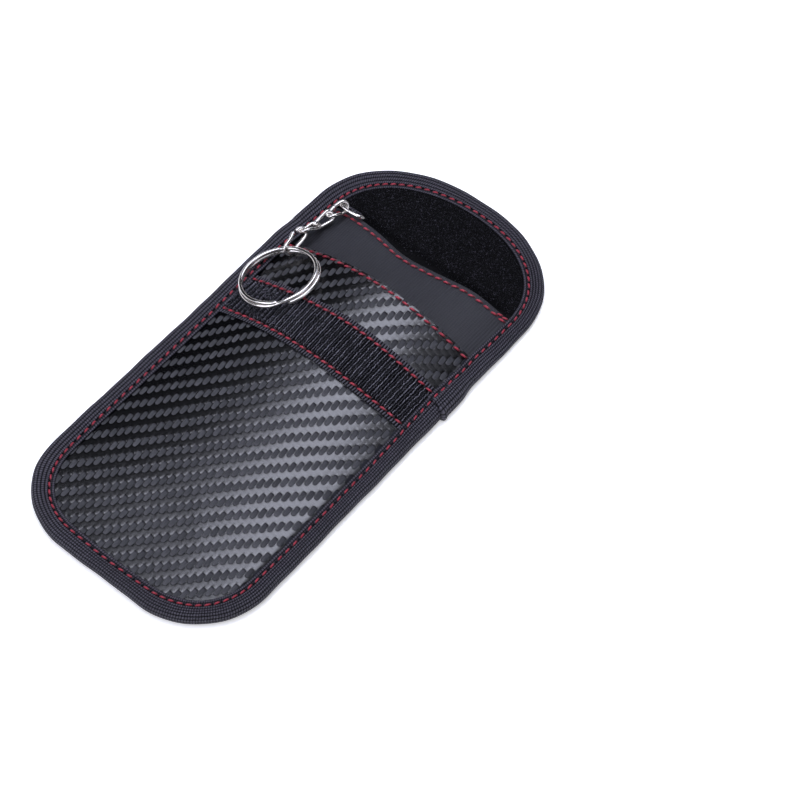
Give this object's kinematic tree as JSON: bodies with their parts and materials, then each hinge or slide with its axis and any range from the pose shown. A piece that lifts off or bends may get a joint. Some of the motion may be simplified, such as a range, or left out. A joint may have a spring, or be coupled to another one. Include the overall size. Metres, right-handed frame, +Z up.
{
  "type": "faraday key case",
  "caption": "Signal-blocking fabric key pouch with fold-over flap, hook strip, twill-look panels, red stitching and a short chain with a split ring.",
  "frame": {"origin": "middle of the open pouch's underside", "axes": "+X across the pouch, +Y along it towards the flap, +Z up from the table through the front panel"},
  "size_m": [0.09, 0.19, 0.0156],
  "materials": {
    "carbon_pu": "embossed twill weave, satin",
    "shield_fabric": "fine conductive ripstop, dull silver grey",
    "smooth_pu": "fine grain, matt",
    "lining_fabric": "plain woven polyester",
    "hook_tape": "hook tape with ribbed selvedges",
    "loop_velour": "brushed loop pile",
    "binding_webbing": "ribbed grosgrain tape",
    "red_thread": "twisted polyester thread",
    "nickel": "nickel plated wire"
  },
  "bodies": {
    "pouch": {"back_panel": "carbon_pu", "back_shield_lining": "shield_fabric", "middle_shield_lining": "shield_fabric", "middle_panel": "smooth_pu", "front_lining": "lining_fabric", "front_panel": "carbon_pu", "hook_strip": "hook_tape", "pouch_binding": "binding_webbing", "binding_end_lap": "binding_webbing", "pouch_edge_stitching": "red_thread", "front_hem_stitching": "red_thread", "hook_strip_upper_stitching": "red_thread", "hook_strip_lower_stitching": "red_thread"},
    "fold": {"fold_panel": "carbon_pu", "fold_shield_lining": "shield_fabric", "fold_middle_lining": "shield_fabric", "fold_middle_panel": "smooth_pu", "fold_binding": "binding_webbing", "fold_edge_stitching": "red_thread"},
    "flap": {"flap_panel": "carbon_pu", "flap_shield_lining": "shield_fabric", "mouth_middle_lining": "shield_fabric", "mouth_middle_panel": "smooth_pu", "loop_pad": "loop_velour", "flap_binding": "binding_webbing", "flap_edge_stitching": "red_thread", "middle_hem_stitching": "red_thread", "chain_anchor_tape": "binding_webbing"},
    "anchor_link_body": {"anchor_link": "nickel"},
    "link_4_body": {"chain_link_4": "nickel"},
    "link_3_body": {"chain_link_3": "nickel"},
    "link_2_body": {"chain_link_2": "nickel"},
    "link_1_body": {"chain_link_1": "nickel"},
    "ring": {"split_ring": "nickel"}
  },
  "joints": [
    {"name": "flap_fold_lower", "type": "hinge", "parent": "pouch", "child": "fold", "pos_m": [0, 0.0434, 0.005], "axis": [1, 0, 0], "range_deg": [0, 90]},
    {"name": "flap_fold_upper", "type": "hinge", "parent": "fold", "child": "flap", "pos_m": [0, 0.0542, 0.005], "axis": [1, 0, 0], "range_deg": [0, 90]},
    {"name": "anchor_link_swing", "type": "hinge", "parent": "flap", "child": "anchor_link_body", "pos_m": [-0.0292, 0.0624, 0.0046], "axis": [1, 0, 0], "range_deg": [-95, 0]},
    {"name": "link_4_swing", "type": "hinge", "parent": "anchor_link_body", "child": "link_4_body", "pos_m": [-0.0321, 0.06034, 0.00755], "axis": [1, 0, 0], "range_deg": [-76.5, 0]},
    {"name": "link_3_swing", "type": "hinge", "parent": "link_4_body", "child": "link_3_body", "pos_m": [-0.03311, 0.05366, 0.00794], "axis": [0.0088, 0.0577, 0.9983], "range_deg": [-25, 0]},
    {"name": "link_2_swing", "type": "hinge", "parent": "link_3_body", "child": "link_2_body", "pos_m": [-0.03412, 0.04776, 0.00734], "axis": [0.8469, -0.1858, 0.4983], "range_deg": [-25, 0]},
    {"name": "link_1_swing", "type": "hinge", "parent": "link_2_body", "child": "link_1_body", "pos_m": [-0.03512, 0.04189, 0.00942], "axis": [0.8106, -0.2922, -0.5075], "range_deg": [-30, 0]},
    {"name": "split_ring_swing", "type": "hinge", "parent": "link_1_body", "child": "ring", "pos_m": [-0.03413, 0.03486, 0.00883], "axis": [0.8736, 0.4067, 0.2671], "range_deg": [-80, 0]}
  ],
  "couplings": [
    {"joint": "flap_fold_upper", "follows": "flap_fold_lower", "ratio": 1},
    {"joint": "anchor_link_swing", "follows": "flap_fold_lower", "ratio": -1.0555},
    {"joint": "link_4_swing", "follows": "flap_fold_lower", "ratio": -0.85}
  ]
}
